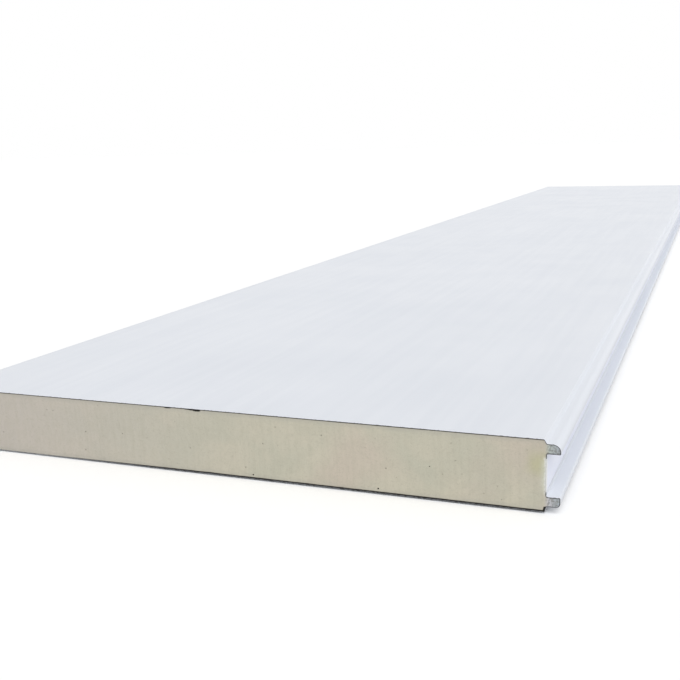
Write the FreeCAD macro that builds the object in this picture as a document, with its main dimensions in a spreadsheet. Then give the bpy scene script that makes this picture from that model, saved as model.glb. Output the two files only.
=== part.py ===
"""An insulated sandwich panel for walls and cold rooms: two roll-formed steel facings bonded to a rigid foam core.

Along one long edge each facing is rolled into a tongue filled with foam, and along the other into a groove
that takes the next panel's tongue. A facing ends in a short lip turned down against the foam, and a thin tape
closes the foam between the two lips of each edge. The panel is cut square to length.

X runs across the panel towards the tongues, Y along it, Z up. The origin is at the middle of the underside.
Each profile is drawn in the XZ plane and extruded both ways along Y.
"""

import FreeCAD, Part
import math
import os
import Sketcher

# Driving dimensions in millimetres, and upper_angle and lower_angle in degrees.
SIZES = (
    ("panel_length", 6000.0, "length the panel is cut to"),
    ("cover_width", 1000.0, "width that one panel covers once joined"),
    ("panel_thickness", 100.0, "from facing to facing, outside"),
    ("skin_thickness", 0.6, "steel sheet of each facing"),
    ("bend_radius", 1.5, "outside radius of the small bends"),
    ("upper_step", 6.0, "from the upper face down to the outside of its tongue"),
    ("lower_step", 8.0, "from the lower face up to the outside of its tongue"),
    ("upper_angle", 60.0, "slope of the step beside the upper tongue, from the face"),
    ("lower_angle", 75.0, "slope of the step beside the lower tongue, from the face"),
    ("tongue_reach", 18.0, "how far a tongue stands out from the edge"),
    ("tongue_height", 13.5, "thickness of a tongue"),
    ("upper_shoulder", 10.0, "radius of the upper tongue's outer shoulder"),
    ("lower_shoulder", 6.0, "radius of the lower tongue's outer shoulder"),
    ("lip_length", 6.5, "lip turned against the foam beyond a tongue or groove"),
    ("joint_clearance", 0.5, "between a tongue and each wall of its groove"),
    ("groove_end_room", 1.5, "between a tongue's tip and the bottom of its groove"),
    ("side_gap", 1.0, "between the edges of two joined panels"),
    ("tape_thickness", 0.3, "tape over the foam of each edge"),
    ("tape_tuck", 4.0, "width of tape held behind each lip"),
)

SHARP = None
NO_DEPTH = "0"
SKIN = "Sizes.skin_thickness"
TAPE = "Sizes.tape_thickness"
BEND = "Sizes.bend_radius"

# Places across the panel: the tips of the tongues, the edge they stand on, and the groove edge.
TIP_X = "(Sizes.cover_width - Sizes.side_gap + Sizes.tongue_reach) / 2"
TONGUE_EDGE_X = f"{TIP_X} - Sizes.tongue_reach"
GROOVE_EDGE_X = f"-({TIP_X})"
GROOVE_BOTTOM_X = f"{GROOVE_EDGE_X} + Sizes.tongue_reach + Sizes.groove_end_room"

# What differs between the two facings: the step beside the tongue, its slope, and the tongue's outer shoulder.
UPPER = ("Sizes.upper_step", "Sizes.upper_angle", "Sizes.upper_shoulder")
LOWER = ("Sizes.lower_step", "Sizes.lower_angle", "Sizes.lower_shoulder")


def make_sheet(doc):
    """The spreadsheet of driving dimensions."""
    sheet = doc.addObject("Spreadsheet::Sheet", "Sizes")
    for row, (alias, value, note) in enumerate(SIZES, start=1):
        sheet.set(f"A{row}", note)
        sheet.set(f"B{row}", str(value))
        sheet.setAlias(f"B{row}", alias)
    doc.recompute()


def value_of(owner, expression):
    """What an expression on the sheet comes to, as a plain number."""
    result = owner.evalExpression(expression)
    return float(getattr(result, "Value", result))


def below_top(depth):
    """Height of a place that lies a depth below the upper face."""
    return f"Sizes.panel_thickness - ({depth})"


def above_bottom(depth):
    """Height of a place that lies a depth above the lower face."""
    return depth


def tongue_inner(step):
    """How far below its face a tongue's inner wall lies."""
    return f"{step} + Sizes.tongue_height"


def groove_outer(step):
    """How far below its face the groove's outer wall lies."""
    return f"{step} - Sizes.joint_clearance"


def groove_inner(step):
    """How far below its face the groove's inner wall lies."""
    return f"{tongue_inner(step)} + Sizes.joint_clearance"


def facing_bends(height, facing, depth):
    """A facing's bends from the groove edge to the tongue edge, as (x, z, radius).

    The line that they make lies a depth behind the facing's outer surface. A bend that goes round
    the foam gets tighter with depth, and one that goes round open space gets wider.
    """
    step, angle, shoulder = facing
    tighter = f"{BEND} - {depth}"
    wider = f"{BEND} + {depth}"
    step_run = f"{step} / tan({angle})"
    slope_shift = f"{depth} * tan({angle} / 2)"
    bends = (
        (f"{GROOVE_EDGE_X} + {depth}", f"{groove_inner(step)} + {depth}", tighter),
        (f"{GROOVE_BOTTOM_X} + {depth}", f"{groove_inner(step)} + {depth}", wider),
        (f"{GROOVE_BOTTOM_X} + {depth}", f"{groove_outer(step)} - {depth}", f"{shoulder} + {depth}"),
        (f"{GROOVE_EDGE_X} + {depth}", f"{groove_outer(step)} - {depth}", tighter),
        (f"{GROOVE_EDGE_X} + {depth}", depth, tighter),
        (f"{TONGUE_EDGE_X} - {step_run} - {slope_shift}", depth, tighter),
        (f"{TONGUE_EDGE_X} - {slope_shift}", f"{step} + {depth}", wider),
        (f"{TIP_X} - {depth}", f"{step} + {depth}", f"{shoulder} - {depth}"),
        (f"{TIP_X} - {depth}", f"{tongue_inner(step)} - {depth}", tighter),
        (f"{TONGUE_EDGE_X} - {depth}", f"{tongue_inner(step)} - {depth}", wider),
    )
    return [(x, height(below), radius) for x, below, radius in bends]


def facing_line(height, facing, depth):
    """A facing's bends with the cut ends of its two lips."""
    step, _, _ = facing
    first = (f"{GROOVE_EDGE_X} + {depth}", height(f"{groove_inner(step)} + Sizes.lip_length"), SHARP)
    last = (f"{TONGUE_EDGE_X} - {depth}", height(f"{tongue_inner(step)} + Sizes.lip_length"), SHARP)
    return [first, *facing_bends(height, facing, depth), last]


def facing_outline(height, facing):
    """A facing's sheet, seen from its cut end: along the outside and back along the inside."""
    outside = facing_line(height, facing, NO_DEPTH)
    inside = facing_line(height, facing, SKIN)
    return outside + inside[::-1]


def tape_outline(edge_x, inward, inner_wall):
    """A tape's section, behind the lips of the edge at edge_x.

    inward is the sign of X into the foam. inner_wall gives where the lips start, from a facing's step.
    """
    front = f"{edge_x} {inward} {SKIN}"
    back = f"{front} {inward} {TAPE}"
    shown_from = "Sizes.lip_length - Sizes.tape_tuck"
    upper = below_top(f"{inner_wall(UPPER[0])} + {shown_from}")
    lower = above_bottom(f"{inner_wall(LOWER[0])} + {shown_from}")
    return [
        (front, upper, SHARP),
        (front, lower, SHARP),
        (back, lower, SHARP),
        (back, upper, SHARP),
    ]


def core_outline():
    """The foam's section: against both facings, and recessed for the tape at each edge."""
    upper = facing_bends(below_top, UPPER, SKIN)
    lower = facing_bends(above_bottom, LOWER, SKIN)
    tongue_front, tongue_low, tongue_back_low, tongue_back = tape_outline(TONGUE_EDGE_X, "-", tongue_inner)
    groove_front, groove_low, groove_back_low, groove_back = tape_outline(GROOVE_EDGE_X, "+", groove_inner)
    tongue_edge = [tongue_front, tongue_back, tongue_back_low, tongue_low]
    groove_edge = [groove_low, groove_back_low, groove_back, groove_front]
    return upper + tongue_edge + lower[::-1] + groove_edge


def bend_arc(before, corner, after, radius):
    """The arc of a bend between two straight runs, and whether it turns left."""
    into = (corner - before).normalize()
    out = (after - corner).normalize()
    turn = math.atan2(into.x * out.y - into.y * out.x, into.dot(out))
    side = math.copysign(1.0, turn)
    start = corner - into * radius * math.tan(abs(turn) / 2)
    centre = start + FreeCAD.Vector(-into.y, into.x, 0) * side * radius
    start_angle = math.atan2(start.y - centre.y, start.x - centre.x)
    angles = sorted((start_angle, start_angle + turn))
    circle = Part.Circle(centre, FreeCAD.Vector(0, 0, 1), radius)
    return Part.ArcOfCircle(circle, *angles), turn > 0


def fix(sketch, kind, place, expression):
    """Adds a dimension to a sketch and binds it to an expression on the sheet."""
    index = sketch.addConstraint(Sketcher.Constraint(kind, *place, value_of(sketch, expression)))
    sketch.setExpression(f"Constraints[{index}]", expression)


def draw_outline(sketch, corners):
    """Draws a closed outline of straight runs and bends, with every corner and radius bound to the sheet."""
    start_point, end_point = 1, 2
    places = [FreeCAD.Vector(value_of(sketch, x), value_of(sketch, z), 0) for x, z, _ in corners]
    count = len(corners)
    arcs = {}
    run_starts = list(places)
    run_ends = list(places)
    for i, (_, _, radius) in enumerate(corners):
        if radius is SHARP:
            continue
        arc, left = bend_arc(places[i - 1], places[i], places[(i + 1) % count], value_of(sketch, radius))
        arcs[i] = (arc, left)
        run_ends[i] = arc.StartPoint if left else arc.EndPoint
        run_starts[i] = arc.EndPoint if left else arc.StartPoint
    runs = [
        sketch.addGeometry(Part.LineSegment(run_starts[i], run_ends[(i + 1) % count]), False)
        for i in range(count)
    ]
    for i, (x, z, radius) in enumerate(corners):
        before, after = runs[i - 1], runs[i]
        if radius is SHARP:
            sketch.addConstraint(Sketcher.Constraint("Coincident", before, end_point, after, start_point))
            corner = (after, start_point)
        else:
            arc, left = arcs[i]
            bend = sketch.addGeometry(arc, False)
            point = sketch.addGeometry(Part.Point(places[i]), True)
            corner = (point, start_point)
            enter, leave = (start_point, end_point) if left else (end_point, start_point)
            sketch.addConstraint([
                Sketcher.Constraint("Tangent", before, end_point, bend, enter),
                Sketcher.Constraint("Tangent", bend, leave, after, start_point),
                Sketcher.Constraint("PointOnObject", point, start_point, before),
                Sketcher.Constraint("PointOnObject", point, start_point, after),
            ])
            fix(sketch, "Radius", (bend,), radius)
        fix(sketch, "DistanceX", corner, x)
        fix(sketch, "DistanceY", corner, z)


def make_piece(doc, label, corners):
    """One piece of the panel: a closed outline across the panel, extruded to the panel's length."""
    body = doc.addObject("PartDesign::Body", label)
    body.Label = label
    plane = next(f for f in body.Origin.OriginFeatures if f.Role == "XZ_Plane")
    sketch = body.newObject("Sketcher::SketchObject", f"{label}_section")
    sketch.AttachmentSupport = [(plane, "")]
    sketch.MapMode = "FlatFace"
    doc.recompute()
    draw_outline(sketch, corners)
    pad = body.newObject("PartDesign::Pad", f"{label}_length")
    pad.Profile = sketch
    pad.SideType = "Symmetric"
    pad.setExpression("Length", "Sizes.panel_length")
    body.Tip = pad
    return body


def check(doc, bodies):
    """Stops the build where an object failed or a piece isn't one good solid."""
    failed = [o.Name for o in doc.Objects if {"Invalid", "Error"} & set(o.State)]
    if failed:
        raise RuntimeError(f"these objects failed: {failed}")
    for body in bodies:
        shape = body.Shape
        if shape.isNull() or not shape.isValid() or len(shape.Solids) != 1:
            raise RuntimeError(f"{body.Label} isn't one valid solid")


def main():
    doc = FreeCAD.newDocument("insulated_panel")
    make_sheet(doc)
    outlines = {
        "foam_core": core_outline(),
        "top_skin": facing_outline(below_top, UPPER),
        "bottom_skin": facing_outline(above_bottom, LOWER),
        "tongue_side_tape": tape_outline(TONGUE_EDGE_X, "-", tongue_inner),
        "groove_side_tape": tape_outline(GROOVE_EDGE_X, "+", groove_inner),
    }
    bodies = [make_piece(doc, label, corners) for label, corners in outlines.items()]
    doc.recompute()
    check(doc, bodies)
    os.makedirs("parts", exist_ok=True)
    for body in bodies:
        body.Shape.exportStep(f"parts/{body.Label}.step")
        box = body.Shape.BoundBox
        print(f"{body.Label}: {box.XLength:.2f} x {box.YLength:.2f} x {box.ZLength:.2f} mm, "
              f"{body.Shape.Volume / 1e9:.6f} m3")


main()
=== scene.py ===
import math
import random

import bmesh
import bpy
from mathutils import Matrix, Vector


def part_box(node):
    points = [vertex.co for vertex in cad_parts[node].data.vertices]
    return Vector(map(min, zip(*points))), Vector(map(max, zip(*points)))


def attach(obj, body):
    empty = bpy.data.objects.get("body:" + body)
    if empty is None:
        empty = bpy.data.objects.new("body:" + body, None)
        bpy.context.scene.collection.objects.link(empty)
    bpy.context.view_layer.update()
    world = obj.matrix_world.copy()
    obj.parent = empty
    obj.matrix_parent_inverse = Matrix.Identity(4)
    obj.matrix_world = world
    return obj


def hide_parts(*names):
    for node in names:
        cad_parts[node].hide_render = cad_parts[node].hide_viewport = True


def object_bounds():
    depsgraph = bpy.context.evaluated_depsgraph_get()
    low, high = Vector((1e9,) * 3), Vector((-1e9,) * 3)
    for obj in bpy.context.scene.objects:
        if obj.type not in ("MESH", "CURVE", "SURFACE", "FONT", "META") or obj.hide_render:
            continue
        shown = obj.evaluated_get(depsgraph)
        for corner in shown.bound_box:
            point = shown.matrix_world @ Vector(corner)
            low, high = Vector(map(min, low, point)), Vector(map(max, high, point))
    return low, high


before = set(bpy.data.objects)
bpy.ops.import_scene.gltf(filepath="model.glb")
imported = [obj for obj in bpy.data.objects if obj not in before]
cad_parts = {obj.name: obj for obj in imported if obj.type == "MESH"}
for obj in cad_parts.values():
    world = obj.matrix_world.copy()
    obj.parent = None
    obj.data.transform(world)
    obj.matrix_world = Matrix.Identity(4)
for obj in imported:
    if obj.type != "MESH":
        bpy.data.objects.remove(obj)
frame_low, frame_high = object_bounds()

# ---------------------------------------------------------------- sizes, in metres

UPPER_STEP = 0.006
LOWER_STEP = 0.008
UPPER_ANGLE = math.radians(60)
LOWER_ANGLE = math.radians(75)
TONGUE_HEIGHT = 0.0135
JOINT_CLEARANCE = 0.0005
GROOVE_END_ROOM = 0.0015
LIP_LENGTH = 0.0065
BEND_RADIUS = 0.0015
UPPER_SHOULDER = 0.010
LOWER_SHOULDER = 0.006

_, foam_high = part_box("foam_core")
tongue_tape_low, tongue_tape_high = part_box("tongue_side_tape")
groove_tape_low, groove_tape_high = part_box("groove_side_tape")

PANEL_THICKNESS = frame_high.z
HALF_LENGTH = frame_high.y
SKIN = frame_high.z - foam_high.z
TIP_X = frame_high.x
TONGUE_EDGE_X = tongue_tape_high.x + SKIN
GROOVE_EDGE_X = frame_low.x
TONGUE_REACH = TIP_X - TONGUE_EDGE_X
TAPE = tongue_tape_high.x - tongue_tape_low.x
LOWER_FACE_EDGE_X = TONGUE_EDGE_X - LOWER_STEP / math.tan(LOWER_ANGLE)
GROOVE_DEPTH = TONGUE_REACH + GROOVE_END_ROOM
GROOVE_WIDTH = TONGUE_HEIGHT + 2 * JOINT_CLEARANCE
TAPE_TUCK = LOWER_STEP + TONGUE_HEIGHT + LIP_LENGTH - tongue_tape_low.z

# Each facing: the height of its face, which way its inside is, its step, the slope of that step, and the
# shoulder on the outside of its tongue.
UPPER = (PANEL_THICKNESS, -1, UPPER_STEP, UPPER_ANGLE, UPPER_SHOULDER)
LOWER = (0, 1, LOWER_STEP, LOWER_ANGLE, LOWER_SHOULDER)

# How the saw left the ends: the steel's edge rough, the foam a little behind it and crushed around its rim,
# and the film torn.
FOAM_SET_BACK = 0.0005
CRUSHED_DEPTH = 0.0016
CRUSHED_WIDTH = 0.0006
SAWN_CELL = 0.003
SAWN_ROUGHNESS = 0.0004
STEEL_ROUGHNESS = 0.0005
TORN_DEPTH = 0.003

# How far the facings wave and the film wrinkles, and how the wrinkles fade towards the lips.
WAVE_HEIGHT = 0.00025
WRINKLE_HEIGHT = 0.0004
WRINKLE_FADE = 0.006

# The film stops this far short of each end.
FILM_END_ROOM = 0.0002

# Places nearer to each other than this are taken as the same.
NEAR = 0.00001

# Where one block cuts another, each runs this far past the other's faces.
OVERRUN = 0.01

# How finely the bends are rounded.
BEND_SEGMENTS = 4
SHOULDER_SEGMENTS = 12

# The saw's large blade, whose middle passes at about the panel's own height.
BLADE_RADIUS = 0.60
BLADE_Z = 0.03

# The panel's own unevenness keeps it this far off the floor, which leaves a dark line under its edges.
FLOOR_GAP = 0.002

# ---------------------------------------------------------------- modelling helpers


def deselect_all():
    bpy.ops.object.select_all(action="DESELECT")


def only(piece):
    """Makes a piece the only one selected, and the active one."""
    deselect_all()
    piece.select_set(True)
    bpy.context.view_layer.objects.active = piece


def edit(piece):
    only(piece)
    bpy.ops.object.mode_set(mode="EDIT")


def leave_edit():
    bpy.ops.object.mode_set(mode="OBJECT")


def take_primitive(name, size):
    """Names the primitive just added and fixes its size in its mesh."""
    piece = bpy.context.object
    piece.name = name
    piece.data.name = name
    piece.scale = size
    bpy.ops.object.transform_apply(location=True, rotation=True, scale=True)
    return piece


def select(piece, kind, test):
    """Selects the vertices, edges or faces that pass a test and nothing else. The piece is in edit mode."""
    bpy.ops.mesh.select_mode(type=kind)
    bpy.ops.mesh.select_all(action="DESELECT")
    mesh = bmesh.from_edit_mesh(piece.data)
    for part in {"VERT": mesh.verts, "EDGE": mesh.edges, "FACE": mesh.faces}[kind]:
        if test(part):
            part.select_set(True)
    bmesh.update_edit_mesh(piece.data)


def edge_lies_at(x, z):
    """A test for the long edges at one place of the section."""
    def test(edge):
        return all(abs(v.co.x - x) < NEAR and abs(v.co.z - z) < NEAR for v in edge.verts)
    return test


def apply_modifiers(piece):
    only(piece)
    for modifier in list(piece.modifiers):
        bpy.ops.object.modifier_apply(modifier=modifier.name)


def smooth(piece, degrees):
    only(piece)
    bpy.ops.object.shade_smooth_by_angle(angle=math.radians(degrees))


# ---------------------------------------------------------------- rolled sheet


def bends(side):
    """Where the rolls bend a facing: x, z, outside radius and turn."""
    face_z, inward, step, angle, shoulder = side
    quarter = math.pi / 2
    outer_z = face_z + inward * step
    inner_z = face_z + inward * (step + TONGUE_HEIGHT)
    groove_outer_z = outer_z - inward * JOINT_CLEARANCE
    groove_inner_z = inner_z + inward * JOINT_CLEARANCE
    groove_bottom_x = GROOVE_EDGE_X + GROOVE_DEPTH
    return [
        (TONGUE_EDGE_X - step / math.tan(angle), face_z, BEND_RADIUS, angle),
        (TONGUE_EDGE_X, outer_z, BEND_RADIUS, angle),
        (TIP_X, outer_z, shoulder, quarter),
        (TIP_X, inner_z, BEND_RADIUS, quarter),
        (TONGUE_EDGE_X, inner_z, BEND_RADIUS, quarter),
        (GROOVE_EDGE_X, face_z, BEND_RADIUS, quarter),
        (GROOVE_EDGE_X, groove_outer_z, BEND_RADIUS, quarter),
        (groove_bottom_x, groove_outer_z, shoulder, quarter),
        (groove_bottom_x, groove_inner_z, BEND_RADIUS, quarter),
        (GROOVE_EDGE_X, groove_inner_z, BEND_RADIUS, quarter),
    ]


def rolled_sheet(name, side, half_length, columns, rows):
    """A facing's outside as one open sheet: the flat face, then each run that is folded from its edges."""
    face_z, inward, step, angle, _ = side
    step_run = step / math.tan(angle)
    face_edge_x = TONGUE_EDGE_X - step_run
    deselect_all()
    middle = ((GROOVE_EDGE_X + face_edge_x) / 2, 0, face_z)
    bpy.ops.mesh.primitive_grid_add(x_subdivisions=columns, y_subdivisions=rows, size=1, location=middle)
    sheet = take_primitive(name, (face_edge_x - GROOVE_EDGE_X, 2 * half_length, 1))
    tongue_runs = [
        (step_run, step),
        (TONGUE_REACH, 0),
        (0, TONGUE_HEIGHT),
        (-TONGUE_REACH, 0),
        (0, LIP_LENGTH),
    ]
    groove_runs = [
        (0, step - JOINT_CLEARANCE),
        (GROOVE_DEPTH, 0),
        (0, GROOVE_WIDTH),
        (-GROOVE_DEPTH, 0),
        (0, LIP_LENGTH),
    ]
    edit(sheet)
    for edge_x, runs in ((face_edge_x, tongue_runs), (GROOVE_EDGE_X, groove_runs)):
        select(sheet, "EDGE", edge_lies_at(edge_x, face_z))
        for across, down in runs:
            bpy.ops.mesh.extrude_region_move(TRANSFORM_OT_translate={"value": (across, 0, inward * down)})
    for x, z, radius, turn in bends(side):
        select(sheet, "EDGE", edge_lies_at(x, z))
        bpy.ops.mesh.bevel(
            offset_type="OFFSET",
            offset=radius * math.tan(turn / 2),
            segments=BEND_SEGMENTS if radius == BEND_RADIUS else SHOULDER_SEGMENTS,
            profile=0.5,
            clamp_overlap=False,
        )
    select(sheet, "FACE", lambda face: True)
    bpy.ops.mesh.normals_make_consistent(inside=False)
    mesh = bmesh.from_edit_mesh(sheet.data)
    level = (f for f in mesh.faces if abs(f.normal.z) > 0.99)
    flat = next(f for f in level if abs(f.calc_center_median().z - face_z) < NEAR)
    if flat.normal.z * inward > 0:
        bpy.ops.mesh.flip_normals()
    leave_edit()
    return sheet


def cross_cut(piece, insets):
    """Adds edges across a long piece at these distances from each of its ends."""
    edit(piece)
    for side in (-1, 1):
        for inset in insets:
            bpy.ops.mesh.select_all(action="SELECT")
            bpy.ops.mesh.bisect(plane_co=(0, side * (HALF_LENGTH - inset), 0), plane_no=(0, 1, 0))
    leave_edit()


def noise_texture(name, size, depth=2):
    texture = bpy.data.textures.new(name, "CLOUDS")
    texture.noise_scale = size
    texture.noise_depth = depth
    return texture


def roughen(piece, name, direction, strength, size, test, middle=0.0):
    """A Displace modifier with a cloud pattern for the vertices that pass a test."""
    group = piece.vertex_groups.new(name=name)
    group.add([v.index for v in piece.data.vertices if test(v)], 1.0, "REPLACE")
    displace = piece.modifiers.new(name, "DISPLACE")
    displace.texture = noise_texture(name, size)
    displace.texture_coords = "LOCAL"
    displace.direction = direction
    displace.mid_level = middle
    displace.strength = strength
    displace.vertex_group = group.name


# Distances from a cut end at which the long pieces have edges across them.
STATIONS = (0.0008, 0.003, 0.008, 0.02, 0.04, 0.07)


def facing(name, side):
    """A facing: the rolled sheet, slightly wavy, with the steel's thickness inside it and rough saw cuts."""
    _, inward, _, _, _ = side
    sheet = rolled_sheet(name, side, HALF_LENGTH, columns=24, rows=60)
    cross_cut(sheet, STATIONS)
    wear(sheet, STEEL, STEEL_EDGE)
    waves = sheet.modifiers.new("waves", "DISPLACE")
    waves.texture = noise_texture(f"{name}_waves", size=0.16, depth=1)
    waves.texture_coords = "LOCAL"
    waves.direction = "Z"
    waves.mid_level = 0
    waves.strength = inward * WAVE_HEIGHT
    apply_modifiers(sheet)
    steel = sheet.modifiers.new("steel", "SOLIDIFY")
    steel.thickness = SKIN
    steel.offset = -1
    steel.use_even_offset = True
    steel.material_offset_rim = 1
    apply_modifiers(sheet)
    for end in (-1, 1):
        roughen(
            sheet, f"{name}_cut", "Y", strength=-end * STEEL_ROUGHNESS, size=0.006,
            test=lambda v: end * v.co.y > HALF_LENGTH - NEAR,
        )
    apply_modifiers(sheet)
    smooth(sheet, degrees=40)
    return sheet


# ---------------------------------------------------------------- foam


def foam_outline():
    """The foam's section as a long block: the insides of both facings, bridged behind the films.

    Its rim is crushed in close to each end, and the rest runs on past the end, where the blank cuts it off.
    """
    half = HALF_LENGTH - FOAM_SET_BACK - CRUSHED_DEPTH
    upper = rolled_sheet("foam_upper", UPPER, half, columns=1, rows=1)
    lower = rolled_sheet("foam_lower", LOWER, half, columns=1, rows=1)
    for sheet in (upper, lower):
        edit(sheet)
        bpy.ops.mesh.select_all(action="SELECT")
        bpy.ops.transform.shrink_fatten(value=-SKIN, use_even_offset=True)
        leave_edit()
    only(upper)
    lower.select_set(True)
    bpy.ops.object.join()
    block = upper
    edit(block)
    for x, clearance, into in ((TONGUE_EDGE_X - SKIN, 0, -1), (GROOVE_EDGE_X + SKIN, JOINT_CLEARANCE, 1)):
        for face_z, inward, step, _, _ in (UPPER, LOWER):
            lip_end = face_z + inward * (step + TONGUE_HEIGHT + clearance + LIP_LENGTH)
            select(block, "EDGE", edge_lies_at(x, lip_end))
            bpy.ops.transform.translate(value=(0, 0, -inward * TAPE_TUCK))
            bpy.ops.mesh.extrude_region_move(TRANSFORM_OT_translate={"value": (into * TAPE, 0, 0)})
        behind = x + into * TAPE

        def open_behind_film(edge):
            first, last = edge.verts
            runs_along = abs(first.co.y - last.co.y) > half
            return edge.is_boundary and runs_along and all(abs(v.co.x - behind) < NEAR for v in (first, last))

        select(block, "EDGE", open_behind_film)
        bpy.ops.mesh.edge_face_add()
    for side in (-1, 1):
        select(block, "EDGE", lambda e: e.is_boundary and all(side * v.co.y > 0 for v in e.verts))
        bpy.ops.mesh.edge_face_add()
    select(block, "FACE", lambda face: True)
    bpy.ops.mesh.normals_make_consistent(inside=False)
    for side in (-1, 1):
        select(block, "FACE", lambda face: side * face.normal.y > 0.99)
        bpy.ops.mesh.inset(thickness=CRUSHED_WIDTH, depth=CRUSHED_DEPTH)
        bpy.ops.mesh.extrude_region_move(TRANSFORM_OT_translate={"value": (0, side * OVERRUN, 0)})
    leave_edit()
    return block


def sawn_blank():
    """A block as long as the sawn foam, larger than its section, with a fine grid on both ends.

    It stands a little off the middle, so that the grid's lines don't fall on the faces that it cuts.
    """
    off_x, off_z = 0.0003, 0.0002
    width = frame_high.x - frame_low.x + 2 * OVERRUN
    height = PANEL_THICKNESS + 2 * OVERRUN
    half = HALF_LENGTH - FOAM_SET_BACK
    deselect_all()
    bpy.ops.mesh.primitive_grid_add(
        x_subdivisions=round(width / SAWN_CELL),
        y_subdivisions=round(height / SAWN_CELL),
        size=1,
        location=(off_x, -half, PANEL_THICKNESS / 2 + off_z),
        rotation=(math.pi / 2, 0, 0),
    )
    blank = take_primitive("foam_block", (width, height, 1))
    edit(blank)
    bpy.ops.mesh.select_all(action="SELECT")
    bpy.ops.mesh.extrude_region_move(TRANSFORM_OT_translate={"value": (0, 2 * half, 0)})
    bpy.ops.mesh.select_all(action="SELECT")
    bpy.ops.mesh.normals_make_consistent(inside=False)
    leave_edit()
    return blank


def cut_with(piece, cutter, operation):
    """Cuts a piece with another one, which is used up."""
    boolean = piece.modifiers.new("cut", "BOOLEAN")
    boolean.operation = operation
    boolean.solver = "EXACT"
    boolean.object = cutter
    apply_modifiers(piece)
    bpy.data.objects.remove(cutter)


# Blowholes under the upper facing and voids in the foam, on each cut end: x, depth below the facing, half the
# width, half the depth along the panel, and half the height.
FRONT_VOIDS = (
    (-0.077, 0.0006, 0.0068, 0.0060, 0.0018),
    (-0.034, 0.0004, 0.0150, 0.0080, 0.0018),
    (-0.027, 0.0018, 0.0080, 0.0070, 0.0015),
    (0.063, 0.0930, 0.0012, 0.0030, 0.0012),
    (0.258, 0.0925, 0.0016, 0.0050, 0.0015),
)
BACK_VOIDS = (
    (-0.310, 0.0004, 0.0090, 0.0070, 0.0016),
    (0.115, 0.0915, 0.0015, 0.0040, 0.0014),
    (0.342, 0.0002, 0.0060, 0.0060, 0.0010),
)

# How uneven the walls of the voids are.
VOID_ROUGHNESS = 0.0016

# Small open cells on each cut end: radius, depth and how many. The seed says where they lie.
OPEN_CELLS = ((0.0011, 0.0016, 14), (0.0008, 0.0012, 30), (0.0005, 0.0008, 60))
CELL_SEED = 11


def hollow(block, side, void):
    """Cuts a void out of a cut end: an uneven flattened ball, centred on the plane of the cut."""
    x, below, half_width, half_depth, half_height = void
    deselect_all()
    centre = (x, side * (HALF_LENGTH - FOAM_SET_BACK), PANEL_THICKNESS - SKIN - below)
    bpy.ops.mesh.primitive_ico_sphere_add(subdivisions=4, radius=1, location=centre)
    ball = take_primitive("void", (half_width, half_depth, half_height))
    roughen(
        ball, "void_shape", "NORMAL", strength=VOID_ROUGHNESS, size=0.0035,
        test=lambda v: True, middle=0.5,
    )
    apply_modifiers(ball)
    cut_with(block, ball, "DIFFERENCE")


def place_on_end(v):
    return (round(v.co.x, 5), round(v.co.z, 5))


def solid_foam(x, z, voids):
    """Whether a place on a cut end is clear of the steel, the film and the voids."""
    margin = 2 * SAWN_CELL
    in_section = (
        SKIN + margin < z < PANEL_THICKNESS - SKIN - margin
        and GROOVE_EDGE_X + GROOVE_DEPTH + margin < x < LOWER_FACE_EDGE_X - margin
    )

    def clear_of(void):
        void_x, below, half_width, _, half_height = void
        void_z = PANEL_THICKNESS - SKIN - below
        return abs(x - void_x) > half_width + margin or abs(void_z - z) > half_height + margin

    return in_section and all(clear_of(void) for void in voids)


def pock(block, side, voids, draw):
    """Sinks the open cells into a cut end, at corners of its grid that the draw chooses well apart."""
    apart = 3 * SAWN_CELL

    def on_end(v):
        return side * v.co.y > HALF_LENGTH - FOAM_SET_BACK - NEAR

    centres = sorted(
        place_on_end(v) for v in block.data.vertices
        if on_end(v) and solid_foam(v.co.x, v.co.z, voids)
    )
    draw.shuffle(centres)
    wanted = sum(count for _, _, count in OPEN_CELLS)
    chosen = []
    for centre in centres:
        if len(chosen) < wanted and all(math.dist(centre, other) > apart for other in chosen):
            chosen.append(centre)
    for radius, depth, count in OPEN_CELLS:
        these = {chosen.pop() for _ in range(count)}
        edit(block)
        select(block, "VERT", lambda v: on_end(v) and place_on_end(v) in these)
        bpy.ops.mesh.bevel(affect="VERTICES", offset=radius, segments=3, profile=0.12)
        bpy.ops.mesh.inset(thickness=radius * 0.15, depth=-depth * 0.6)
        bpy.ops.mesh.inset(thickness=radius * 0.35, depth=-depth * 0.4)
        leave_edit()


def foam_block():
    """The foam: the blank cut to its section, with blowholes, open cells and an uneven cut at both ends."""
    block = sawn_blank()
    cut_with(block, foam_outline(), "INTERSECT")
    draw = random.Random(CELL_SEED)
    for side, voids in ((-1, FRONT_VOIDS), (1, BACK_VOIDS)):
        for void in voids:
            hollow(block, side, void)
        pock(block, side, voids, draw)
        roughen(
            block, f"sawn_{side}", "Y", strength=side * SAWN_ROUGHNESS, size=0.012,
            test=lambda v: side * v.co.y > HALF_LENGTH - FOAM_SET_BACK - CRUSHED_DEPTH - NEAR, middle=0.5,
        )
        apply_modifiers(block)
    edit(block)
    bpy.ops.mesh.select_all(action="SELECT")
    bpy.ops.mesh.remove_doubles(threshold=NEAR)
    leave_edit()
    smooth(block, degrees=35)
    return block


# ---------------------------------------------------------------- film over the foam


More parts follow.
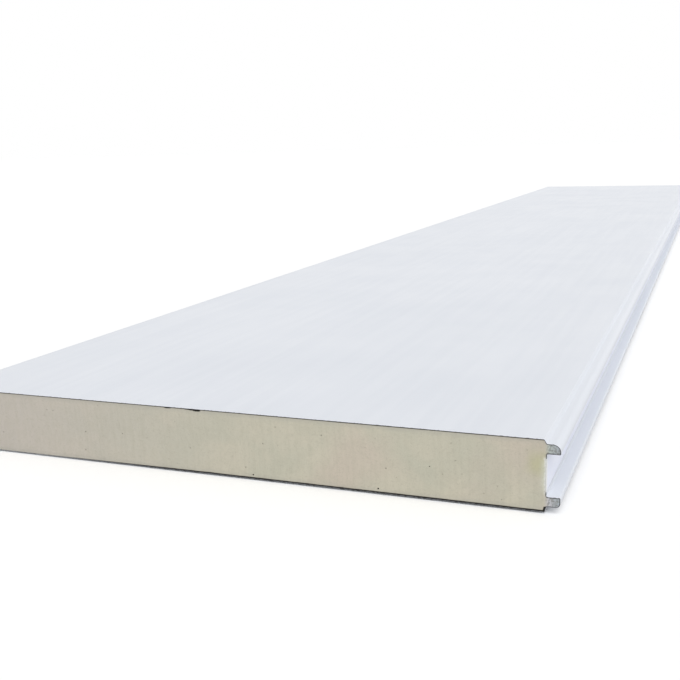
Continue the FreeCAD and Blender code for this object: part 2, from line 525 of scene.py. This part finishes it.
def film(name, low, high, outward):
    """The film between an edge's lips: a thin sheet, uneven from the foam behind it and torn at its ends."""
    deselect_all()
    front = high.x if outward > 0 else low.x
    bpy.ops.mesh.primitive_grid_add(
        x_subdivisions=18,
        y_subdivisions=300,
        size=1,
        location=(front, 0, (low.z + high.z) / 2),
        rotation=(0, outward * math.pi / 2, 0),
    )
    sheet = take_primitive(name, (high.z - low.z, 2 * HALF_LENGTH - 2 * FILM_END_ROOM, 1))
    shown = sheet.vertex_groups.new(name="shown")
    middle_z = (low.z + high.z) / 2
    half_shown = (high.z - low.z) / 2 - TAPE_TUCK
    for v in sheet.data.vertices:
        weight = min(1.0, max(0.0, (half_shown - abs(v.co.z - middle_z)) / WRINKLE_FADE))
        shown.add([v.index], weight, "REPLACE")
    wrinkles = sheet.modifiers.new("wrinkles", "DISPLACE")
    wrinkles.texture = noise_texture(f"{name}_wrinkles", size=0.035, depth=3)
    wrinkles.texture_coords = "LOCAL"
    wrinkles.direction = "X"
    wrinkles.mid_level = 0
    wrinkles.strength = outward * WRINKLE_HEIGHT
    wrinkles.vertex_group = "shown"
    apply_modifiers(sheet)
    cross_cut(sheet, [inset for inset in STATIONS if inset > TORN_DEPTH])
    for side in (-1, 1):
        roughen(
            sheet, f"{name}_torn", "Y", strength=-side * TORN_DEPTH, size=0.005,
            test=lambda v: side * v.co.y > HALF_LENGTH - FILM_END_ROOM - NEAR,
        )
    thickness = sheet.modifiers.new("thickness", "SOLIDIFY")
    thickness.thickness = TAPE
    thickness.offset = -1
    apply_modifiers(sheet)
    smooth(sheet, degrees=60)
    return sheet


# ---------------------------------------------------------------- materials


class Nodes:
    """A short way to wire a material: each call adds a node, sets its plain inputs and links the others.

    An input is named by its own name, with _ for each space, or by its number after an i, as in i6.
    """

    def __init__(self, name):
        self.material = bpy.data.materials.new(name)
        self.material.use_nodes = True
        self.tree = self.material.node_tree
        self.tree.nodes.clear()
        self.place = self.add("ShaderNodeTexCoord").outputs["Object"]

    def add(self, kind, settings=None, **inputs):
        node = self.tree.nodes.new(kind)
        for key, value in (settings or {}).items():
            setattr(node, key, value)
        for key, value in inputs.items():
            numbered = key[0] == "i" and key[1:].isdigit()
            socket = node.inputs[int(key[1:]) if numbered else key.replace("_", " ")]
            if isinstance(value, bpy.types.NodeSocket):
                self.tree.links.new(value, socket)
            else:
                socket.default_value = value
        return node

    def noise(self, scale, detail, distortion=0.0, vector=None):
        node = self.add(
            "ShaderNodeTexNoise", Vector=vector or self.place,
            Scale=scale, Detail=detail, Distortion=distortion,
        )
        return node.outputs["Fac"]

    def ramp(self, value, low, high, to_low=0.0, to_high=1.0):
        """Maps a range smoothly onto another."""
        node = self.add(
            "ShaderNodeMapRange", {"interpolation_type": "SMOOTHSTEP"}, Value=value,
            From_Min=low, From_Max=high, To_Min=to_low, To_Max=to_high,
        )
        return node.outputs["Result"]

    def math(self, operation, a, b=0.0):
        return self.add("ShaderNodeMath", {"operation": operation}, i0=a, i1=b).outputs[0]

    def mix(self, factor, a, b):
        """Mixes two colours."""
        return self.add("ShaderNodeMix", {"data_type": "RGBA"}, i0=factor, i6=a, i7=b).outputs[2]

    def stretched(self, scale):
        return self.add("ShaderNodeMapping", Vector=self.place, Scale=scale).outputs["Vector"]

    def bump(self, height, strength, distance, normal=None):
        node = self.add("ShaderNodeBump", Height=height, Strength=strength, Distance=distance)
        if normal is not None:
            self.tree.links.new(normal, node.inputs["Normal"])
        return node.outputs["Normal"]

    def finish(self, **inputs):
        shader = self.add("ShaderNodeBsdfPrincipled", **inputs)
        self.add("ShaderNodeOutputMaterial", Surface=shader.outputs["BSDF"])
        return self.material


# Colours, as red, green, blue and 1 for opaque.
COATING = (0.690, 0.718, 0.770, 1)
COATING_LIGHTER = (0.710, 0.736, 0.787, 1)
COATING_STREAK = (0.650, 0.680, 0.738, 1)
CHIPPED_COATING = (0.16, 0.16, 0.165, 1)
# Near black: the bare sawn steel, deepened with painted shade.
SHADED_SAWN_STEEL = (0.014, 0.014, 0.016, 1)
SCRATCHED_STEEL = (0.055, 0.055, 0.060, 1)
PALER_SAWN_STEEL = (0.24, 0.24, 0.25, 1)
ZINC = (0.62, 0.63, 0.66, 1)
WHITE_FILM = (0.785, 0.810, 0.915, 1)
WHITE_FILM_LIGHTER = (0.815, 0.838, 0.925, 1)
FILM_END = (0.82, 0.82, 0.80, 1)
WARM_FOAM = (0.580, 0.546, 0.443, 1)
GREEN_FOAM = (0.530, 0.516, 0.420, 1)
PINK_FOAM = (0.565, 0.498, 0.420, 1)
ROSE_FOAM = (0.512, 0.462, 0.440, 1)
FLOW_FOAM = (0.430, 0.412, 0.325, 1)
DENSE_FOAM = (0.430, 0.415, 0.365, 1)
YELLOW_FOAM = (0.482, 0.474, 0.280, 1)
BLEACHED_FOAM = (0.640, 0.655, 0.560, 1)
UPPER_TONGUE_FOAM = (0.478, 0.532, 0.481, 1)
LOWER_TONGUE_FOAM = (0.600, 0.580, 0.612, 1)
TONGUE_TIP_FOAM = (0.385, 0.430, 0.475, 1)
TONGUE_FOAM_DARK = (0.200, 0.212, 0.212, 1)
# Nearly white: frayed film fibres, and painted light over the shade of the crushed slot beside the film.
FRAYED_FOAM_AND_LIGHT = (0.820, 0.830, 0.790, 1)
CELL_SHADOW = (0.300, 0.285, 0.225, 1)
# Painted shade for the foam's hollows, its crushed rim and the strip close under the upper facing.
HOLLOW_SHADE = (0.050, 0.046, 0.038, 1)
# Painted shade: a near black line along the lower facing's cut edge and its step.
EDGE_SHADE = (0.014, 0.013, 0.012, 1)


def coated_steel():
    """White coil coating, satin, with the rollers' faint streaks along the panel, chipped at the saw cuts."""
    n = Nodes("coated_steel")
    streaks = n.noise(9.0, 3.0, vector=n.stretched((6.0, 0.25, 6.0)))
    clouds = n.noise(2.3, 3.0)
    tone = n.mix(n.ramp(clouds, 0.35, 0.65), COATING, COATING_LIGHTER)
    tone = n.mix(n.ramp(streaks, 0.3, 0.7, 0.0, 0.45), tone, COATING_STREAK)
    place = n.add("ShaderNodeSeparateXYZ", Vector=n.place)
    from_end = n.math("SUBTRACT", HALF_LENGTH, n.math("ABSOLUTE", place.outputs["Y"]))
    chipped_to = n.ramp(n.noise(210.0, 3.0), 0.48, 0.66, 0.0002, 0.0016)
    chipped = n.math("LESS_THAN", from_end, chipped_to)
    tone = n.mix(chipped, tone, CHIPPED_COATING)
    peel = n.bump(n.noise(420.0, 2.0), 0.06, 0.0004)
    rough = n.ramp(n.noise(5.0, 4.0), 0.3, 0.7, 0.33, 0.42)
    return n.finish(Base_Color=tone, Roughness=rough, Normal=peel)


def cut_steel():
    """The steel's bare edges: near black where sawn, partly the bare steel and partly painted shade, paler
    towards the lower groove, and zinc grey at the lips.
    """
    n = Nodes("cut_steel")
    place = n.add("ShaderNodeSeparateXYZ", Vector=n.place)
    from_middle = n.math("ABSOLUTE", place.outputs["Y"])
    scratch = n.noise(700.0, 3.0)
    # Near black where sawn: partly the bare steel, partly painted shade along the cut edge.
    tone = n.mix(n.ramp(scratch, 0.4, 0.7), SHADED_SAWN_STEEL, SCRATCHED_STEEL)
    lower_facing = n.math("LESS_THAN", place.outputs["Z"], PANEL_THICKNESS / 2)
    less_dark = n.math("MULTIPLY", n.ramp(place.outputs["X"], -0.40, -0.08, 0.9, 0.0), lower_facing)
    tone = n.mix(less_dark, tone, PALER_SAWN_STEEL)
    at_lips = n.math("LESS_THAN", from_middle, HALF_LENGTH - 0.001)
    tone = n.mix(at_lips, tone, ZINC)
    return n.finish(Base_Color=tone, Roughness=0.55)


def sawn_foam():
    """Sawn rigid foam: pale beige, blotched, aged beside the film of the tongues, painted light right at the
    film, and painted shade in its hollows and along the facings.
    """
    n = Nodes("sawn_foam")
    place = n.add("ShaderNodeSeparateXYZ", Vector=n.place)
    x, y, z = place.outputs["X"], place.outputs["Y"], place.outputs["Z"]
    from_middle = n.math("ABSOLUTE", n.math("SUBTRACT", z, PANEL_THICKNESS / 2))
    below_cut = n.math("SUBTRACT", HALF_LENGTH, n.math("ABSOLUTE", y))
    wander = n.math("SUBTRACT", n.noise(45.0, 4.0), 0.5)

    # Blotches of greener, warmer and pinker foam, and a rosier tone towards the grooves.
    tone = n.mix(n.ramp(n.noise(11.0, 4.0, distortion=0.6), 0.36, 0.64), GREEN_FOAM, WARM_FOAM)
    tone = n.mix(n.ramp(n.noise(4.2, 3.0), 0.50, 0.66, 0.0, 0.75), tone, PINK_FOAM)
    tone = n.mix(n.ramp(x, -0.48, 0.15, 0.65, 0.0), tone, ROSE_FOAM)

    # The lines along which the rising foam flowed, and the faint arcs that the saw's blade left.
    flow = n.ramp(n.noise(26.0, 2.0, distortion=3.0), 0.50, 0.58, 0.0, 0.12)
    tone = n.mix(flow, tone, FLOW_FOAM)
    above_blade = n.math("POWER", n.math("SUBTRACT", z, BLADE_Z), 2.0)
    arc = n.math("SUBTRACT", x, n.math("SQRT", n.math("SUBTRACT", BLADE_RADIUS ** 2, above_blade)))
    lines = n.add("ShaderNodeTexNoise", {"noise_dimensions": "1D"}, W=arc, Scale=150.0, Detail=3.0)
    marks = lines.outputs["Fac"]
    tone = n.mix(n.ramp(marks, 0.42, 0.68, 0.0, 0.13), tone, FLOW_FOAM)

    # Denser, greyer foam beside the facings.
    near_steel = n.ramp(
        n.math("ADD", from_middle, n.math("MULTIPLY", wander, 0.008)),
        PANEL_THICKNESS / 2 - 0.010, PANEL_THICKNESS / 2 - 0.001, 0.0, 0.5,
    )
    tone = n.mix(near_steel, tone, DENSE_FOAM)

    # Foam beside the tongue edge's film is yellowed, and palest right at the film.
    towards_film = n.math("ADD", x, n.math("MULTIPLY", wander, 0.03))
    yellow_z = 0.066
    from_yellow = n.math("ABSOLUTE", n.math("SUBTRACT", z, yellow_z))
    yellowed = n.math(
        "MULTIPLY",
        n.ramp(towards_film, TONGUE_EDGE_X - 0.032, TONGUE_EDGE_X - 0.012),
        n.ramp(from_yellow, 0.002, 0.026, 0.62, 0.0),
    )
    tone = n.mix(yellowed, tone, YELLOW_FOAM)
    between_lips = n.ramp(from_middle, 0.021, 0.028, 1.0, 0.0)
    next_to_film = n.ramp(x, TONGUE_EDGE_X - 0.005, TONGUE_EDGE_X - 0.0015)
    beside_film = n.math("MULTIPLY", next_to_film, between_lips)
    close_to_film = n.math("ADD", x, n.math("MULTIPLY", wander, 0.008))
    bleached = n.ramp(close_to_film, TONGUE_EDGE_X - 0.012, TONGUE_EDGE_X - 0.002, 0.0, 0.8)
    wandering_height = n.math("ADD", from_middle, n.math("MULTIPLY", wander, 0.03))
    aged_height = n.ramp(wandering_height, 0.008, 0.028, 1.0, 0.0)
    tone = n.mix(n.math("MULTIPLY", bleached, aged_height), tone, BLEACHED_FOAM)
    # Right at the film the foam is nearly white: partly frayed film fibres, partly painted light that lifts
    # the shade in the crushed slot.
    close_and_uneven = n.math("ADD", close_to_film, n.math("MULTIPLY", n.noise(160.0, 2.0), 0.004))
    frayed_and_lit = n.ramp(close_and_uneven, TONGUE_EDGE_X - 0.0025, TONGUE_EDGE_X + 0.0010)
    tone = n.mix(n.math("MULTIPLY", frayed_and_lit, between_lips), tone, FRAYED_FOAM_AND_LIGHT)

    # The tongues' foam is grey and coarse, greener in the upper one and darker towards the tips; the darkness
    # is partly denser foam and partly painted shade.
    root = n.mix(n.ramp(z, 0.03, 0.07), LOWER_TONGUE_FOAM, UPPER_TONGUE_FOAM)
    tongue = n.mix(n.ramp(x, TONGUE_EDGE_X - 0.004, TIP_X), root, TONGUE_TIP_FOAM)
    coarse = n.mix(n.ramp(n.noise(330.0, 4.0), 0.38, 0.60, 0.8, 0.0), tongue, TONGUE_FOAM_DARK)
    tone = n.mix(n.ramp(x, TONGUE_EDGE_X - 0.004, TONGUE_EDGE_X + 0.004, 0.0, 0.92), tone, coarse)

    # Painted shade in the cut cells, and painted shade where the surface lies deeper than the cut.
    cells = n.add("ShaderNodeTexVoronoi", Vector=n.place, Scale=1500.0).outputs["Distance"]
    tone = n.mix(n.ramp(cells, 0.10, 0.50, 0.22, 0.0), tone, CELL_SHADOW)
    tone = n.mix(n.ramp(n.noise(330.0, 3.0), 0.30, 0.50, 0.14, 0.0), tone, CELL_SHADOW)
    clear_of_film = n.math("SUBTRACT", 1.0, beside_film)
    deep_shade = n.math("MULTIPLY", n.ramp(below_cut, 0.0011, 0.0024, 0.0, 0.93), clear_of_film)
    tone = n.mix(deep_shade, tone, HOLLOW_SHADE)

    # Painted shade on the near end: a dark line along the lower facing and its step, widest towards the
    # tongues, and another close under the upper facing.
    uneven = n.math("MULTIPLY", wander, 0.0008)
    shade_reach = n.math("ADD", n.ramp(x, -0.44, 0.02, -0.0003, 0.0022), uneven)
    step_x = n.math("ADD", LOWER_FACE_EDGE_X, n.math("MULTIPLY", z, 1 / math.tan(LOWER_ANGLE)))
    inside_step = n.math("MULTIPLY", math.sin(LOWER_ANGLE), n.math("SUBTRACT", step_x, x))
    inside_steel = n.math("SUBTRACT", n.math("MINIMUM", z, n.math("MAXIMUM", inside_step, 0.0005)), SKIN)
    past_shade = n.math("SUBTRACT", inside_steel, shade_reach)
    edge_shade = n.math("MULTIPLY", n.ramp(past_shade, 0.0, 0.0006, 0.97, 0.0), n.math("LESS_THAN", y, 0.0))
    edge_shade = n.math("MULTIPLY", edge_shade, n.math("LESS_THAN", z, LOWER_STEP))
    tone = n.mix(edge_shade, tone, EDGE_SHADE)
    under_top = n.math("ADD", n.math("SUBTRACT", PANEL_THICKNESS - SKIN, z), uneven)
    tone = n.mix(n.ramp(under_top, 0.0006, 0.0014, 0.75, 0.0), tone, HOLLOW_SHADE)

    grain = n.bump(cells, 0.6, 0.0005)
    relief = n.bump(n.noise(150.0, 5.0), 0.35, 0.0010, grain)
    sawn = n.bump(marks, 0.25, 0.0006, relief)
    return n.finish(Base_Color=tone, Roughness=0.92, Specular_IOR_Level=0.2, Normal=sawn)


def edge_film():
    """White film with faint folds, creamy with a ragged line at the cut ends."""
    n = Nodes("edge_film")
    folds = n.noise(38.0, 4.0, vector=n.stretched((1.0, 0.5, 1.0)))
    tone = n.mix(n.ramp(folds, 0.35, 0.65), WHITE_FILM, WHITE_FILM_LIGHTER)
    place = n.add("ShaderNodeSeparateXYZ", Vector=n.place)
    from_end = n.math("SUBTRACT", HALF_LENGTH, n.math("ABSOLUTE", place.outputs["Y"]))
    ragged = n.math("ADD", from_end, n.math("MULTIPLY", n.noise(120.0, 3.0), 0.006))
    tone = n.mix(n.ramp(ragged, 0.006, 0.016, 0.9, 0.0), tone, FILM_END)
    soft = n.bump(folds, 0.3, 0.001)
    return n.finish(Base_Color=tone, Roughness=0.5, Normal=soft)


def wear(piece, *materials):
    """Gives a piece these materials and no others."""
    piece.data.materials.clear()
    for material in materials:
        piece.data.materials.append(material)


# ---------------------------------------------------------------- the panel

STEEL = coated_steel()
STEEL_EDGE = cut_steel()
FOAM = sawn_foam()
FILM = edge_film()


def dress_panel():
    top = facing("top_facing", UPPER)
    bottom = facing("bottom_facing", LOWER)
    foam = foam_block()
    wear(foam, FOAM)
    tongue_film = film("tongue_side_film", tongue_tape_low, tongue_tape_high, 1)
    wear(tongue_film, FILM)
    groove_film = film("groove_side_film", groove_tape_low, groove_tape_high, -1)
    wear(groove_film, FILM)
    for piece, node, slot in (
        (top, "top_skin", "coated_steel"),
        (bottom, "bottom_skin", "coated_steel"),
        (foam, "foam_core", "foam"),
        (tongue_film, "tongue_side_tape", "edge_tape"),
        (groove_film, "groove_side_tape", "edge_tape"),
    ):
        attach(piece, "root")
        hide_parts(node)


# ---------------------------------------------------------------- studio

FLOOR_SIZE = 80
FLOOR_LIT = (0.80, 0.80, 0.80, 1)
WHITE = (1, 1, 1, 1)

# How strongly the surroundings light the panel, and how strongly they are seen and mirrored.
WORLD_LIGHT = 0.55
WORLD_SEEN = 1.0

# Each lamp: how far round it stands from the near end towards the tongues, its height and its width, all in
# degrees, and its strength.
LAMPS = (
    ("key", 28, 50, 50, 1.65),
    ("fill", 75, 30, 60, 0.45),
)

# The camera stands low, out from the near corner on the tongues' side, and looks along the panel and a little
# across it. Its place is in metres, and its heading is turned from the panel's length towards the grooves.
CAMERA_PLACE = (TONGUE_EDGE_X + 0.189, -HALF_LENGTH - 1.165, 0.484)
CAMERA_HEADING = math.radians(22.04)
CAMERA_DIP = math.radians(11.99)
CAMERA_ROLL = math.radians(-1.82)
CAMERA_LENS = 49.65
CAMERA_SENSOR = 36


def lay_floor():
    """A floor that is lit as pale grey and seen as white."""
    deselect_all()
    bpy.ops.mesh.primitive_plane_add(size=1, location=(0, 0, -FLOOR_GAP))
    floor = take_primitive("floor", (FLOOR_SIZE, FLOOR_SIZE, 1))
    n = Nodes("floor_white")
    rays = n.add("ShaderNodeLightPath")
    paint = n.mix(rays.outputs["Is Camera Ray"], FLOOR_LIT, WHITE)
    matt = n.add("ShaderNodeBsdfDiffuse", Color=paint)
    n.add("ShaderNodeOutputMaterial", Surface=matt.outputs[0])
    wear(floor, n.material)


def surround():
    """White surroundings, as strong as white only where they are seen, mirrored or looked through."""
    world = bpy.data.worlds.new("studio")
    world.use_nodes = True
    bpy.context.scene.world = world
    tree = world.node_tree
    background = tree.nodes["Background"]
    rays = tree.nodes.new("ShaderNodeLightPath")
    seen = tree.nodes.new("ShaderNodeMath")
    seen.operation = "MAXIMUM"
    tree.links.new(rays.outputs["Is Camera Ray"], seen.inputs[0])
    glossy = tree.nodes.new("ShaderNodeMath")
    glossy.operation = "MAXIMUM"
    tree.links.new(rays.outputs["Is Glossy Ray"], glossy.inputs[0])
    tree.links.new(rays.outputs["Is Transmission Ray"], glossy.inputs[1])
    tree.links.new(glossy.outputs[0], seen.inputs[1])
    strength = tree.nodes.new("ShaderNodeMapRange")
    tree.links.new(seen.outputs[0], strength.inputs["Value"])
    strength.inputs["To Min"].default_value = WORLD_LIGHT
    strength.inputs["To Max"].default_value = WORLD_SEEN
    tree.links.new(strength.outputs["Result"], background.inputs["Strength"])
    background.inputs["Color"].default_value = WHITE


def hang_lamps():
    for name, round_degrees, height_degrees, width_degrees, power in LAMPS:
        deselect_all()
        bpy.ops.object.light_add(type="SUN", location=(0, -4, 6))
        lamp = bpy.context.object
        lamp.name = name
        lamp.data.energy = power
        lamp.data.angle = math.radians(width_degrees)
        way_round = math.radians(round_degrees)
        height = math.radians(height_degrees)
        out = math.cos(height)
        towards = Vector((math.sin(way_round) * out, -math.cos(way_round) * out, math.sin(height)))
        lamp.rotation_euler = towards.to_track_quat("Z", "Y").to_euler()


def place_camera():
    across, along = math.sin(CAMERA_HEADING), math.cos(CAMERA_HEADING)
    ahead = math.cos(CAMERA_DIP)
    forward = Vector((-across * ahead, along * ahead, -math.sin(CAMERA_DIP)))
    level = Vector((along, across, 0))
    upright = level.cross(forward)
    right = level * math.cos(CAMERA_ROLL) + upright * math.sin(CAMERA_ROLL)
    up = right.cross(forward)
    turn = Matrix((right, up, -forward)).transposed()
    deselect_all()
    bpy.ops.object.camera_add()
    camera = bpy.context.object
    camera.name = "camera"
    camera.data.lens = CAMERA_LENS
    camera.data.sensor_width = CAMERA_SENSOR
    camera.matrix_world = Matrix.Translation(CAMERA_PLACE) @ turn.to_4x4()
    bpy.context.scene.camera = camera


def studio():
    scene = bpy.context.scene
    scene.view_settings.view_transform = "Standard"
    lay_floor()
    surround()
    hang_lamps()
    place_camera()


dress_panel()
studio()
